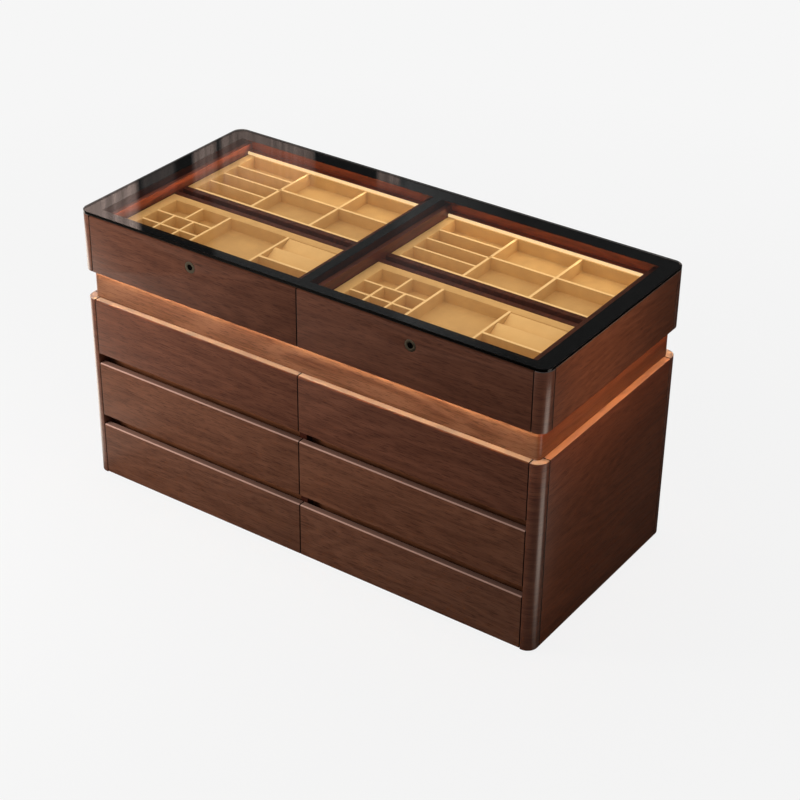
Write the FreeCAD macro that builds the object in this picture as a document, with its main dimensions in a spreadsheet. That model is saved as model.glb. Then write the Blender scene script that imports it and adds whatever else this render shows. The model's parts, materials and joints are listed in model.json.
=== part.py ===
import FreeCAD, Part
import os
from types import SimpleNamespace

import Sketcher

# Closet island with drawers. Millimetres, +Z up, +X to the right as seen from the front.
# The origin is on the floor under the middle of the base, and the drawer fronts face -Y.
# A low jewellery case with a glass top stands on a recessed waist over a chest of drawers.

os.makedirs("parts", exist_ok=True)
doc = FreeCAD.newDocument("closet_island")

# ------------------------------------------------------------------ driving dimensions
drivingDimensions = [
    # the whole island
    ("overall_width", 1500),
    ("overall_depth", 700),
    ("overall_height", 850),
    # glass top
    ("glass_thickness", 8),
    ("glass_arris", 1.2),
    ("enamel_thickness", 0.4),
    ("enamel_inset", 1),
    ("border_front", 40),
    ("border_back", 52),
    ("border_side", 51),
    ("border_centre", 28),
    ("bedding_thickness", 1.6),
    ("bedding_inset", 3),
    ("bedding_width", 30),
    # outer shell
    ("jewel_case_height", 172),
    ("waist_height", 88),
    ("waist_recess", 20),
    ("waist_board", 18),
    ("waist_radius", 13),
    ("corner_radius", 31),
    ("post_width", 35),
    ("post_depth", 39),
    ("side_thickness", 20),
    ("back_thickness", 18),
    ("case_board", 18),
    ("partition_thickness", 22),
    ("bay_packing", 14),
    ("seam_gap", 1.5),
    # drawer fronts
    ("front_thickness", 20),
    ("front_edge", 3),
    ("finger_gap", 32),
    ("finger_depth", 25),
    ("rail_thickness", 18),
    ("rail_lap_above", 4),
    ("rail_lap_below", 20),
    ("closing_gap", 1),
    ("floor_clearance", 8),
    # floor glides
    ("glide_height", 5),
    ("glide_radius", 15),
    ("glide_inset", 60),
    # drawer boxes
    ("drawer_board", 14),
    ("drawer_bottom", 6),
    ("bottom_rise", 8),
    ("box_clearance", 6),
    ("box_drop", 22),
    ("box_lift", 14),
    ("box_back_gap", 62),
    # telescopic runners
    ("runner_gap", 13),
    ("runner_setback", 22),
    ("runner_end_gap", 28),
    ("runner_height", 45),
    ("runner_rise", 40),
    ("runner_steel", 1.5),
    ("case_member_reach", 10),
    ("middle_member_reach", 8),
    ("drawer_member_reach", 7),
    ("race_clearance", 0.3),
    ("batten_height", 50),
    # jewellery drawers
    ("jewel_box_drop", 12),
    ("jewel_back_drop", 54),
    ("sliding_clearance", 2),
    ("front_rail_height", 10),
    ("front_rail_depth", 11),
    ("light_rail_height", 54),
    ("light_bar_depth", 24),
    ("light_bar_height", 8),
    ("light_bar_drop", 40),
    ("waist_light_depth", 4),
    ("waist_light_height", 6),
    ("waist_light_drop", 4),
    ("cross_rail", 18),
    ("cross_rail_gap", 23),
    ("cross_rail_station", 16),
    # trays
    ("tray_drop", 42),
    ("tray_depth", 35),
    ("tray_floor", 5),
    ("tray_clearance", 2),
    ("tray_seat_gap", 0.5),
    ("tray_cam_gap", 6),
    ("divider", 8),
    ("thin_divider", 7),
    ("rim_left", 26),
    ("rim_left_front", 33),
    ("rim_right", 24),
    ("rim_end", 8),
    ("rim_wide", 29),
    ("rim_front", 12),
    ("first_column", 227),
    ("second_column", 432),
    ("slot_pitch", 62.6),
    ("first_cell_row", 77.5),
    ("cell_pitch", 62.5),
    ("pair_column", 128),
    ("cell_column_one", 94),
    ("cell_column_two", 162.5),
    ("ring_pad_length", 127),
    ("ring_pad_drop", 2),
    ("ring_pad_toe", 4),
    # locks
    ("lock_drop", 50),
    ("lock_flange_radius", 17),
    ("lock_flange", 2),
    ("lock_barrel_radius", 10.5),
    ("lock_plug_radius", 8.5),
    ("lock_clearance", 0.05),
    ("lock_recess", 1.5),
    ("key_slot_width", 2.4),
    ("key_slot_height", 10),
    ("key_slot_depth", 8),
    ("cam_length", 46),
    ("cam_width", 10),
    ("cam_thickness", 2.5),
]

sheet = doc.addObject("Spreadsheet::Sheet", "Dim")
for row, (alias, value) in enumerate(drivingDimensions, start=1):
    sheet.set(f"A{row}", alias)
    sheet.set(f"B{row}", str(value))
    sheet.setAlias(f"B{row}", alias)
doc.recompute()


class Size:
    """A length that is known both as a number and as the expression that gives it."""

    def __init__(self, text, value):
        self.text = text
        self.value = value

    def __add__(self, other):
        other = asSize(other)
        return Size(f"({self.text} + {other.text})", self.value + other.value)

    def __sub__(self, other):
        other = asSize(other)
        return Size(f"({self.text} - {other.text})", self.value - other.value)

    def __mul__(self, factor):
        return Size(f"({self.text} * {factor})", self.value * factor)

    def __truediv__(self, divisor):
        return Size(f"({self.text} / {divisor})", self.value / divisor)

    def __neg__(self):
        return self * -1


def asSize(value):
    if isinstance(value, Size):
        return value
    return Size(str(value), value)


def smaller(one, other):
    return Size(f"min({one.text}; {other.text})", min(one.value, other.value))


dim = SimpleNamespace(**{alias: Size(f"Dim.{alias}", value) for alias, value in drivingDimensions})

# ------------------------------------------------------------------ shared levels and planes
zero = asSize(0)
halfWidth = dim.overall_width / 2
halfDepth = dim.overall_depth / 2
glassBottom = dim.overall_height - dim.glass_thickness
beddingTop = glassBottom - dim.enamel_thickness
caseTop = beddingTop - dim.bedding_thickness
jewelBottom = caseTop - dim.jewel_case_height
chestTop = jewelBottom - dim.waist_height
jewelFloorTop = jewelBottom + dim.case_board
deckBottom = chestTop - dim.case_board
baseTop = dim.glide_height + dim.case_board

faceY = -halfDepth
frontBackY = faceY + dim.front_thickness
boardFrontY = frontBackY + dim.closing_gap
backInnerY = halfDepth - dim.back_thickness
postEndY = halfDepth - dim.post_depth
sideInnerX = halfWidth - dim.side_thickness
postInnerX = halfWidth - dim.post_width
bayOuterX = postInnerX - dim.bay_packing
bayInnerX = dim.partition_thickness / 2
bayCentreX = (bayOuterX + bayInnerX) / 2
boxHalf = (bayOuterX - bayInnerX) / 2 - dim.runner_gap
boxInnerHalf = boxHalf - dim.drawer_board
innerFrontY = frontBackY + dim.drawer_board
chestBoxBackY = backInnerY - dim.box_back_gap
runnerBackY = chestBoxBackY - dim.runner_end_gap
runnerLength = runnerBackY - frontBackY - dim.runner_setback

rowPitch = (chestTop + dim.finger_gap) / 3
lightRailY = backInnerY - dim.rail_thickness
columns = {"left": -1, "right": 1}
chestRows = {"upper": 0, "middle": 1, "lower": 2}
parts = []


# ------------------------------------------------------------------ modelling helpers
def bindPlace(piece, x, y, z):
    piece.setExpression("Placement.Base.x", asSize(x).text)
    piece.setExpression("Placement.Base.y", asSize(y).text)
    piece.setExpression("Placement.Base.z", asSize(z).text)


def board(name, x, y, z):
    """A rectangular board between the low and high planes given for each axis."""
    piece = doc.addObject("Part::Box", name)
    for side, (low, high) in zip(("Length", "Width", "Height"), (x, y, z)):
        piece.setExpression(side, (high - low).text)
    bindPlace(piece, x[0], y[0], z[0])
    return piece


def newBody(name, x=zero, y=zero, z=zero):
    body = doc.addObject("PartDesign::Body", name)
    bindPlace(body, x, y, z)
    return body


def newSketch(body, role, lift=zero):
    """An empty sketch on one of the body's own origin planes, raised along that plane's normal."""
    sketch = body.newObject("Sketcher::SketchObject", f"{body.Name}_sketch")
    plane = [feature for feature in body.Origin.OriginFeatures if feature.Role == role][0]
    sketch.AttachmentSupport = [(plane, "")]
    sketch.MapMode = "FlatFace"
    sketch.setExpression("AttachmentOffset.Base.z", lift.text)
    return sketch


def drawOutline(sketch, points):
    """A closed outline of straight lines, each corner held by its two distances."""
    first = sketch.GeometryCount
    corners = [FreeCAD.Vector(asSize(x).value, asSize(y).value, 0) for x, y in points]
    count = len(corners)
    for index in range(count):
        sketch.addGeometry(Part.LineSegment(corners[index], corners[(index + 1) % count]), False)
    for index in range(count):
        following = first + (index + 1) % count
        sketch.addConstraint(Sketcher.Constraint("Coincident", first + index, 2, following, 1))
    for index, (x, y) in enumerate(points):
        for kind, size in (("DistanceX", asSize(x)), ("DistanceY", asSize(y))):
            number = sketch.addConstraint(
                Sketcher.Constraint(kind, -1, 1, first + index, 1, size.value))
            sketch.setExpression(f"Constraints[{number}]", size.text)


def drawCircle(sketch, radius):
    """A circle about the sketch's origin."""
    normal = FreeCAD.Vector(0, 0, 1)
    index = sketch.addGeometry(Part.Circle(FreeCAD.Vector(0, 0, 0), normal, radius.value), False)
    sketch.addConstraint(Sketcher.Constraint("Coincident", index, 3, -1, 1))
    number = sketch.addConstraint(Sketcher.Constraint("Radius", index, radius.value))
    sketch.setExpression(f"Constraints[{number}]", radius.text)


def rectangle(x, y):
    return [(x[0], y[0]), (x[1], y[0]), (x[1], y[1]), (x[0], y[1])]


def pad(body, sketch, length):
    feature = body.newObject("PartDesign::Pad", f"{body.Name}_pad")
    feature.Profile = sketch
    feature.setExpression("Length", length.text)
    sketch.Visibility = False
    return feature


def pocket(body, sketch, depth):
    """A cut that goes into the material behind the sketch, against its normal."""
    doc.recompute()
    before = body.Shape.Volume
    feature = body.newObject("PartDesign::Pocket", f"{body.Name}_pocket")
    feature.Profile = sketch
    feature.setExpression("Length", depth.text)
    doc.recompute()
    if not body.Shape.Volume < before:
        raise RuntimeError(f"{feature.Name} cuts nothing")
    return feature


def dressEdges(body, kind, base, size, chosen):
    """A Fillet or Chamfer on the edges of base that the test chosen accepts."""
    doc.recompute()
    names = []
    for number, edge in enumerate(base.Shape.Edges, start=1):
        if chosen(edge):
            names.append(f"Edge{number}")
    feature = body.newObject(f"PartDesign::{kind}", f"{body.Name}_{kind.lower()}")
    feature.Base = (base, names)
    feature.setExpression("Radius" if kind == "Fillet" else "Size", size.text)
    return feature


def isVerticalAt(edge, x=None, y=None):
    """True for an upright edge, at the given x and y where they are stated."""
    box = edge.BoundBox
    if box.ZLength < 0.01 or box.XLength > 0.01 or box.YLength > 0.01:
        return False
    xFits = x is None or abs(box.XMin - x) < 0.01
    yFits = y is None or abs(box.YMin - y) < 0.01
    return xFits and yFits


def finish(label, pieces):
    """Closes a sub-part: one piece keeps its own object, several share a compound."""
    if len(pieces) == 1:
        piece = pieces[0]
    else:
        piece = doc.addObject("Part::Compound", f"group_{label}")
        piece.Links = pieces
    piece.Label = label
    parts.append(piece)


def roundedPlate(name, x, y, z, radius):
    """A plate with its four upright edges rounded."""
    body = newBody(name, x[0], y[0], z[0])
    sketch = newSketch(body, "XY_Plane")
    drawOutline(sketch, rectangle((zero, x[1] - x[0]), (zero, y[1] - y[0])))
    plate = pad(body, sketch, z[1] - z[0])
    rounded = dressEdges(body, "Fillet", plate, radius, isVerticalAt)
    return body, rounded


def roundedBoard(name, x, y, z, radius, roundX, roundY):
    """A board whose upright edges at the listed local x and y places are rounded."""
    body = newBody(name, x[0], y[0], z[0])
    sketch = newSketch(body, "XY_Plane")
    drawOutline(sketch, rectangle((zero, x[1] - x[0]), (zero, y[1] - y[0])))
    plain = pad(body, sketch, z[1] - z[0])

    def isChosen(edge):
        return any(isVerticalAt(edge, place.value, roundY.value) for place in roundX)

    dressEdges(body, "Fillet", plain, radius, isChosen)
    return body


# ------------------------------------------------------------------ glass top
def makeGlassTop():
    width = (-halfWidth, halfWidth)
    depth = (-halfDepth, halfDepth)
    body, rounded = roundedPlate(
        "glass_top", width, depth, (glassBottom, dim.overall_height), dim.corner_radius)
    top = dim.glass_thickness.value

    def isArris(edge):
        box = edge.BoundBox
        return box.ZLength < 0.01 and (abs(box.ZMin - top) < 0.01 or abs(box.ZMin) < 0.01)

    dressEdges(body, "Chamfer", rounded, dim.glass_arris, isArris)
    finish("glass_top", [body])


def makeEnamelBorder():
    """The black border fired on the underside of the glass, with a window over each bay."""
    edgeX = halfWidth - dim.enamel_inset
    edgeY = halfDepth - dim.enamel_inset
    body, rounded = roundedPlate(
        "enamel_border", (-edgeX, edgeX), (-edgeY, edgeY), (beddingTop, glassBottom),
        dim.corner_radius - dim.enamel_inset)
    windowX = (dim.border_centre / 2, halfWidth - dim.border_side)
    windowY = (dim.border_front - halfDepth, halfDepth - dim.border_back)
    for side in columns.values():
        sketch = newSketch(body, "XY_Plane", dim.enamel_thickness)
        near = windowX[0] * side + edgeX
        far = windowX[1] * side + edgeX
        drawOutline(sketch, rectangle((near, far), (windowY[0] + edgeY, windowY[1] + edgeY)))
        pocket(body, sketch, dim.enamel_thickness)
    finish("enamel_border", [body])


def makeGlassBedding():
    """Thin strips that the glass lies on, along each edge and over the middle partition."""
    outerX = halfWidth - dim.bedding_inset
    outerY = halfDepth - dim.bedding_inset
    innerX = outerX - dim.bedding_width
    innerY = outerY - dim.bedding_width
    level = (caseTop, beddingTop)
    radius = smaller(dim.corner_radius - dim.bedding_inset, dim.bedding_width - 1)
    ends = (zero, outerX * 2)
    strips = [
        roundedBoard("bedding_front", (-outerX, outerX), (-outerY, -innerY), level,
                     radius, ends, zero),
        roundedBoard("bedding_back", (-outerX, outerX), (innerY, outerY), level,
                     radius, ends, dim.bedding_width),
        board("bedding_left", (-outerX, -innerX), (-innerY, innerY), level),
        board("bedding_right", (innerX, outerX), (-innerY, innerY), level),
        board("bedding_middle", (-bayInnerX, bayInnerX), (-innerY, innerY), level),
    ]
    finish("glass_bedding_strips", strips)


# ------------------------------------------------------------------ outer shell
def makeCornerPosts():
    radius = smaller(dim.corner_radius, smaller(dim.post_width, dim.post_depth) - 1)
    posts = []
    for tier, level in (("chest", (dim.glide_height, chestTop)), ("jewel", (jewelBottom, caseTop))):
        for column, side in columns.items():
            for place, facing in (("front", -1), ("back", 1)):
                x = (-halfWidth, -postInnerX) if side < 0 else (postInnerX, halfWidth)
                y = (-halfDepth, -postEndY) if facing < 0 else (postEndY, halfDepth)
                roundX = zero if side < 0 else dim.post_width
                roundY = zero if facing < 0 else dim.post_depth
                posts.append(roundedBoard(
                    f"post_{tier}_{column}_{place}", x, y, level, radius, [roundX], roundY))
    finish("corner_posts", posts)


def makeSidePanels():
    y = (dim.seam_gap - postEndY, postEndY - dim.seam_gap)
    panels = []
    for tier, level in (("chest", (dim.glide_height, chestTop)), ("jewel", (jewelBottom, caseTop))):
        panels.append(board(f"side_{tier}_left", (-halfWidth, -sideInnerX), y, level))
        panels.append(board(f"side_{tier}_right", (sideInnerX, halfWidth), y, level))
    finish("side_panels", panels)


def makeBackPanels():
    x = (dim.seam_gap - postInnerX, postInnerX - dim.seam_gap)
    y = (backInnerY, halfDepth)
    finish("back_panels", [
        board("back_panel_chest", x, y, (dim.glide_height, chestTop)),
        board("back_panel_jewel", x, y, (jewelBottom, caseTop)),
    ])


def notchedBoard(name, bottom):
    """A horizontal board between the side panels, notched round the four posts."""
    body = newBody(name, z=bottom)
    sketch = newSketch(body, "XY_Plane")
    drawOutline(sketch, [
        (-postInnerX, boardFrontY), (postInnerX, boardFrontY),
        (postInnerX, -postEndY), (sideInnerX, -postEndY),
        (sideInnerX, postEndY), (postInnerX, postEndY),
        (postInnerX, backInnerY), (-postInnerX, backInnerY),
        (-postInnerX, postEndY), (-sideInnerX, postEndY),
        (-sideInnerX, -postEndY), (-postInnerX, -postEndY),
    ])
    pad(body, sketch, dim.case_board)
    return body


def makeCaseBoards():
    finish("chest_boards", [
        notchedBoard("base_board", dim.glide_height),
        notchedBoard("deck_board", deckBottom),
    ])
    finish("jewel_case_floor", [notchedBoard("floor_board", jewelBottom)])


def makePartitions():
    x = (-bayInnerX, bayInnerX)
    y = (boardFrontY, backInnerY)
    finish("partitions", [
        board("partition_chest", x, y, (baseTop, deckBottom)),
        board("partition_jewel", x, y, (jewelFloorTop, caseTop)),
    ])


def makeBayLiners():
    """The inner walls of the jewellery bays, packed out to the side panels behind the posts."""
    liners = []
    for column, side in columns.items():
        body = newBody(f"bay_liner_{column}", z=jewelFloorTop)
        sketch = newSketch(body, "XY_Plane")
        outline = [
            (bayOuterX, boardFrontY), (postInnerX, boardFrontY),
            (postInnerX, -postEndY), (sideInnerX, -postEndY),
            (sideInnerX, postEndY), (postInnerX, postEndY),
            (postInnerX, backInnerY), (bayOuterX, backInnerY),
        ]
        drawOutline(sketch, [(x * side, y) for x, y in outline])
        pad(body, sketch, caseTop - jewelFloorTop)
        liners.append(body)
    finish("bay_liners", liners)


def makeWaist():
    outerX = halfWidth - dim.waist_recess
    outerY = halfDepth - dim.waist_recess
    innerX = outerX - dim.waist_board
    innerY = outerY - dim.waist_board
    level = (chestTop, jewelBottom)
    radius = smaller(dim.waist_radius, dim.waist_board - 1)
    ends = (zero, outerX * 2)
    finish("waist_boards", [
        roundedBoard("waist_front", (-outerX, outerX), (-outerY, -innerY), level,
                     radius, ends, zero),
        roundedBoard("waist_back", (-outerX, outerX), (innerY, outerY), level,
                     radius, ends, dim.waist_board),
        board("waist_left", (-outerX, -innerX), (-innerY, innerY), level),
        board("waist_right", (innerX, outerX), (-innerY, innerY), level),
    ])


def makeLights():
    """Light strips under the overhang of the case, and one light bar at the back of each bay."""
    wallX = halfWidth - dim.waist_recess
    wallY = halfDepth - dim.waist_recess
    proudX = wallX + dim.waist_light_depth
    proudY = wallY + dim.waist_light_depth
    runX = wallX - dim.waist_radius
    runY = wallY - dim.waist_radius
    top = jewelBottom - dim.waist_light_drop
    level = (top - dim.waist_light_height, top)
    bars = [
        board("waist_light_front", (-runX, runX), (-proudY, -wallY), level),
        board("waist_light_back", (-runX, runX), (wallY, proudY), level),
        board("waist_light_left", (-proudX, -wallX), (-runY, runY), level),
        board("waist_light_right", (wallX, proudX), (-runY, runY), level),
    ]
    barBottom = caseTop - dim.light_bar_drop
    barHalf = boxInnerHalf - dim.tray_clearance
    for column, side in columns.items():
        centre = bayCentreX * side
        bars.append(board(
            f"jewel_light_{column}", (centre - barHalf, centre + barHalf),
            (lightRailY - dim.light_bar_depth, lightRailY),
            (barBottom, barBottom + dim.light_bar_height)))
    finish("light_bars", bars)


def makeCaseRails():
    """Rails of the jewellery case: a slim one over each drawer mouth, one behind each light bar."""
    rails = []
    for column, side in columns.items():
        x = (bayInnerX, bayOuterX) if side > 0 else (-bayOuterX, -bayInnerX)
        rails.append(board(
            f"front_rail_{column}", x, (boardFrontY, boardFrontY + dim.front_rail_depth),
            (caseTop - dim.front_rail_height, caseTop)))
        rails.append(board(
            f"light_rail_{column}", x, (lightRailY, backInnerY),
            (caseTop - dim.light_rail_height, caseTop)))
    finish("jewel_case_rails", rails)


def makeFingerRails():
    """Recessed rails behind the finger gaps between the drawer fronts of the chest."""
    near = frontBackY + dim.finger_depth
    rails = []
    for gap in (1, 2):
        gapTop = chestTop - rowPitch * gap + dim.finger_gap
        level = (gapTop - dim.finger_gap - dim.rail_lap_below, gapTop + dim.rail_lap_above)
        for column, side in columns.items():
            x = (bayInnerX, sideInnerX) if side > 0 else (-sideInnerX, -bayInnerX)
            rails.append(board(
                f"finger_rail_{column}_{gap}", x, (near, near + dim.rail_thickness), level))
    finish("finger_gap_rails", rails)


def makeGlides():
    glides = []
    glideX = sideInnerX - dim.glide_inset
    glideY = backInnerY - dim.glide_inset
    for column in (-1, 0, 1):
        for row in (-1, 0, 1):
            glide = doc.addObject("Part::Cylinder", "glide")
            glide.setExpression("Radius", dim.glide_radius.text)
            glide.setExpression("Height", dim.glide_height.text)
            bindPlace(glide, glideX * column, glideY * row, zero)
            glides.append(glide)
    finish("floor_glides", glides)


# ------------------------------------------------------------------ drawers
def boxLevels(row):
    """Bottom and top of a drawer box: the jewellery row, or a row of the chest."""
    if row == "jewel":
        return jewelFloorTop + dim.box_clearance, caseTop - dim.jewel_box_drop
    top, bottom = frontLevels(row)
    if row == "lower":
        return baseTop + dim.box_clearance, top - dim.box_drop
    return bottom + dim.box_lift, top - dim.box_drop


def frontLevels(row):
    """Top and bottom of a drawer front."""
    if row == "jewel":
        return caseTop - dim.closing_gap, jewelBottom
    top = chestTop - rowPitch * chestRows[row]
    if row == "lower":
        return top, dim.floor_clearance
    return top, top - rowPitch + dim.finger_gap


def makeDrawerFront(column, row):
    """A front board with its upper front edge eased, bored for the lock on the jewellery row."""
    side = columns[column]
    top, bottom = frontLevels(row)
    low = postInnerX - dim.seam_gap
    width = low - dim.seam_gap / 2
    left = dim.seam_gap / 2 if side > 0 else -low
    name = f"{column}_{row}_drawer_front"
    body = newBody(name, left, frontBackY, bottom)
    sketch = newSketch(body, "XZ_Plane")
    drawOutline(sketch, rectangle((zero, width), (zero, top - bottom)))
    slab = pad(body, sketch, dim.front_thickness)
    height = (top - bottom).value
    face = -dim.front_thickness.value

    def isTopFront(edge):
        box = edge.BoundBox
        return box.XLength > 1 and abs(box.ZMin - height) < 0.01 and abs(box.YMin - face) < 0.01 \
            and box.YLength < 0.01

    dressEdges(body, "Chamfer", slab, dim.front_edge, isTopFront)
    if row == "jewel":
        lockX = bayCentreX * side - left
        lockZ = caseTop - dim.lock_drop - bottom
        for radius, depth in (
                (dim.lock_flange_radius, dim.lock_flange),
                (dim.lock_barrel_radius, dim.front_thickness)):
            hole = newSketch(body, "XZ_Plane", dim.front_thickness)
            hole.setExpression("AttachmentOffset.Base.x", lockX.text)
            hole.setExpression("AttachmentOffset.Base.y", lockZ.text)
            drawCircle(hole, radius + dim.lock_clearance)
            pocket(body, hole, depth)
    finish(name, [body])


def makeChestBox(column, row):
    """An open drawer box of five boards."""
    centre = bayCentreX * columns[column]
    bottom, top = boxLevels(row)
    name = f"{column}_{row}_drawer_box"
    outer = (centre - boxHalf, centre + boxHalf)
    inner = (centre - boxInnerHalf, centre + boxInnerHalf)
    lengthY = (frontBackY, chestBoxBackY)
    insideY = (innerFrontY, chestBoxBackY - dim.drawer_board)
    level = (bottom, top)
    panel = bottom + dim.bottom_rise
    finish(name, [
        board(f"{name}_left", (outer[0], inner[0]), lengthY, level),
        board(f"{name}_right", (inner[1], outer[1]), lengthY, level),
        board(f"{name}_front", inner, (frontBackY, innerFrontY), level),
        board(f"{name}_back", inner, (insideY[1], chestBoxBackY), level),
        board(f"{name}_bottom", inner, insideY, (panel, panel + dim.drawer_bottom)),
    ])


# levels and stations that the jewellery boxes, trays and pads share
trayTop = caseTop - dim.tray_drop
trayFloorTop = trayTop - dim.tray_depth
trayBottom = trayFloorTop - dim.tray_floor
jewelBoxBackY = lightRailY - dim.sliding_clearance
jewelBackInnerY = jewelBoxBackY - dim.drawer_board
rearRailY = (dim.cross_rail_station - dim.cross_rail, dim.cross_rail_station)
frontRailBack = rearRailY[0] - dim.cross_rail_gap
frontRailY = (frontRailBack - dim.cross_rail, frontRailBack)
trayHalf = boxInnerHalf - dim.tray_clearance
# a turn that lays a cylinder's axis from the back of a drawer front towards its face
alongFront = FreeCAD.Rotation(FreeCAD.Vector(1, 0, 0), 90)
rearTrayY = (rearRailY[1] + dim.tray_seat_gap, jewelBackInnerY - dim.tray_seat_gap)
frontTrayY = (innerFrontY + dim.tray_cam_gap, frontRailY[0] - dim.tray_seat_gap)


def makeJewelBox(column):
    """A drawer box with a raised bottom for the trays, two cross rails and a low back."""
    centre = bayCentreX * columns[column]
    bottom, top = boxLevels("jewel")
    name = f"{column}_jewel_drawer_box"
    outer = (centre - boxHalf, centre + boxHalf)
    inner = (centre - boxInnerHalf, centre + boxInnerHalf)
    lengthY = (frontBackY, jewelBoxBackY)
    insideY = (innerFrontY, jewelBackInnerY)
    level = (bottom, top)
    frontBoard = board(f"{name}_front_plain", inner, (frontBackY, innerFrontY), level)
    bore = doc.addObject("Part::Cylinder", f"{name}_lock_bore")
    bore.Placement = FreeCAD.Placement(FreeCAD.Vector(), alongFront)
    bore.setExpression("Radius", (dim.lock_barrel_radius + dim.lock_clearance).text)
    bore.setExpression("Height", dim.drawer_board.text)
    bindPlace(bore, centre, innerFrontY, caseTop - dim.lock_drop)
    boredFront = doc.addObject("Part::Cut", f"{name}_front")
    boredFront.Base = frontBoard
    boredFront.Tool = bore
    finish(name, [
        board(f"{name}_left", (outer[0], inner[0]), lengthY, level),
        board(f"{name}_right", (inner[1], outer[1]), lengthY, level),
        boredFront,
        board(f"{name}_back", inner, (jewelBackInnerY, jewelBoxBackY),
              (bottom, caseTop - dim.jewel_back_drop)),
        board(f"{name}_bottom", inner, insideY, (trayBottom - dim.drawer_bottom, trayBottom)),
        board(f"{name}_rear_rail", inner, rearRailY, (trayBottom, trayTop)),
        board(f"{name}_front_rail", inner, frontRailY, (trayBottom, trayTop)),
    ])


# ------------------------------------------------------------------ telescopic runners
def channel(name, wallX, turn, station, halfHeight, z):
    """One C section of a runner, from its web at station[0] to its lips at station[1]."""
    webX, lipX = station
    inward = dim.runner_steel if webX.value < lipX.value else -dim.runner_steel
    inner = halfHeight - dim.runner_steel
    outline = [
        (webX, -halfHeight), (lipX, -halfHeight), (lipX, -inner), (webX + inward, -inner),
        (webX + inward, inner), (lipX, inner), (lipX, halfHeight), (webX, halfHeight),
    ]
    body = newBody(name, wallX, runnerBackY, z)
    sketch = newSketch(body, "XZ_Plane")
    drawOutline(sketch, [(x * turn, height) for x, height in outline])
    pad(body, sketch, runnerLength)
    return body


# web and lip stations of the three members, from the case wall towards the drawer box
cabinetStation = (zero, dim.case_member_reach)
middleStation = (dim.runner_steel * 2, dim.runner_steel * 2 + dim.middle_member_reach)
drawerStation = (dim.runner_gap, dim.runner_gap - dim.drawer_member_reach)
cabinetHalf = dim.runner_height / 2
middleHalf = cabinetHalf - dim.runner_steel - dim.race_clearance
drawerHalf = middleHalf - dim.runner_steel - dim.race_clearance
cabinetMembers = []
battens = []


def makeRunners(column, row):
    """Both runners of one drawer: case members, telescoping middle members, drawer members."""
    side = columns[column]
    z = boxLevels(row)[0] + dim.runner_rise
    name = f"{column}_{row}"
    middleMembers = []
    drawerMembers = []
    # the outer wall is at the packing behind the post, the inner wall is the partition
    for wall, wallX, turn in (("outer", bayOuterX * side, -side), ("inner", bayInnerX * side, side)):
        cabinetMembers.append(channel(
            f"{name}_case_member_{wall}", wallX, turn, cabinetStation, cabinetHalf, z))
        middleMembers.append(channel(
            f"{name}_middle_member_{wall}", wallX, turn, middleStation, middleHalf, z))
        drawerMembers.append(channel(
            f"{name}_drawer_member_{wall}", wallX, turn, drawerStation, drawerHalf, z))
    finish(f"{name}_telescopic_members", middleMembers)
    finish(f"{name}_drawer_runners", drawerMembers)
    if row != "jewel":
        x = (bayOuterX, sideInnerX) if side > 0 else (-sideInnerX, -bayOuterX)
        half = dim.batten_height / 2
        battens.append(board(
            f"{name}_batten", x, (-postEndY, postEndY), (z - half, z + half)))


# ------------------------------------------------------------------ trays and ring pads
def makeTray(label, centre, y, rims, walls):
    """A tray of separate boards: floor, four rims, and dividers given from its left front."""
    leftRim, rightRim, frontRim, backRim = rims
    left = centre - trayHalf
    right = centre + trayHalf
    level = (trayFloorTop, trayTop)
    insideX = (left + leftRim, right - rightRim)
    insideY = (y[0] + frontRim, y[1] - backRim)
    pieces = [
        board(f"{label}_floor", (left, right), y, (trayBottom, trayFloorTop)),
        board(f"{label}_left_rim", (left, insideX[0]), y, level),
        board(f"{label}_right_rim", (insideX[1], right), y, level),
        board(f"{label}_front_rim", insideX, (y[0], insideY[0]), level),
        board(f"{label}_back_rim", insideX, (insideY[1], y[1]), level),
    ]
    for number, (x, wallY) in enumerate(walls(left, insideX, insideY), start=1):
        pieces.append(board(f"{label}_divider_{number}", x, wallY, level))
    finish(label, pieces)


def about(middle, thickness):
    return (middle - thickness / 2, middle + thickness / 2)


def rearTrayWalls(left, insideX, insideY):
    """Four long slots on the left, and two columns of two cells."""
    first = about(left + dim.first_column, dim.divider)
    second = about(left + dim.second_column, dim.divider)
    middle = about((insideY[0] + insideY[1]) / 2, dim.divider)
    walls = [(first, insideY), (second, insideY)]
    walls.append(((first[1], second[0]), middle))
    walls.append(((second[1], insideX[1]), middle))
    for slot in (1, 2, 3):
        station = insideY[0] + dim.slot_pitch * slot
        walls.append(((insideX[0], first[0]), about(station, dim.thin_divider)))
    return walls


def frontTrayWalls(left, insideX, insideY):
    """Small cells on the left, one large cell, then the ring pad's place and a narrow cell."""
    first = about(left + dim.first_column, dim.divider)
    second = about(left + dim.second_column, dim.divider)
    firstRow = about(insideY[1] - dim.first_cell_row, dim.thin_divider)
    secondRow = about(insideY[1] - dim.first_cell_row - dim.cell_pitch, dim.thin_divider)
    cellsX = (insideX[0], first[0])
    walls = [(first, insideY), (second, insideY), (cellsX, firstRow), (cellsX, secondRow)]
    walls.append((about(left + dim.pair_column, dim.thin_divider), (firstRow[1], insideY[1])))
    for station in (dim.cell_column_one, dim.cell_column_two):
        column = about(left + station, dim.thin_divider)
        walls.append((column, (insideY[0], secondRow[0])))
        walls.append((column, (secondRow[1], firstRow[0])))
    padFront = insideY[1] - dim.ring_pad_length
    walls.append(((second[1], insideX[1]), (padFront - dim.divider, padFront)))
    return walls


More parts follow.
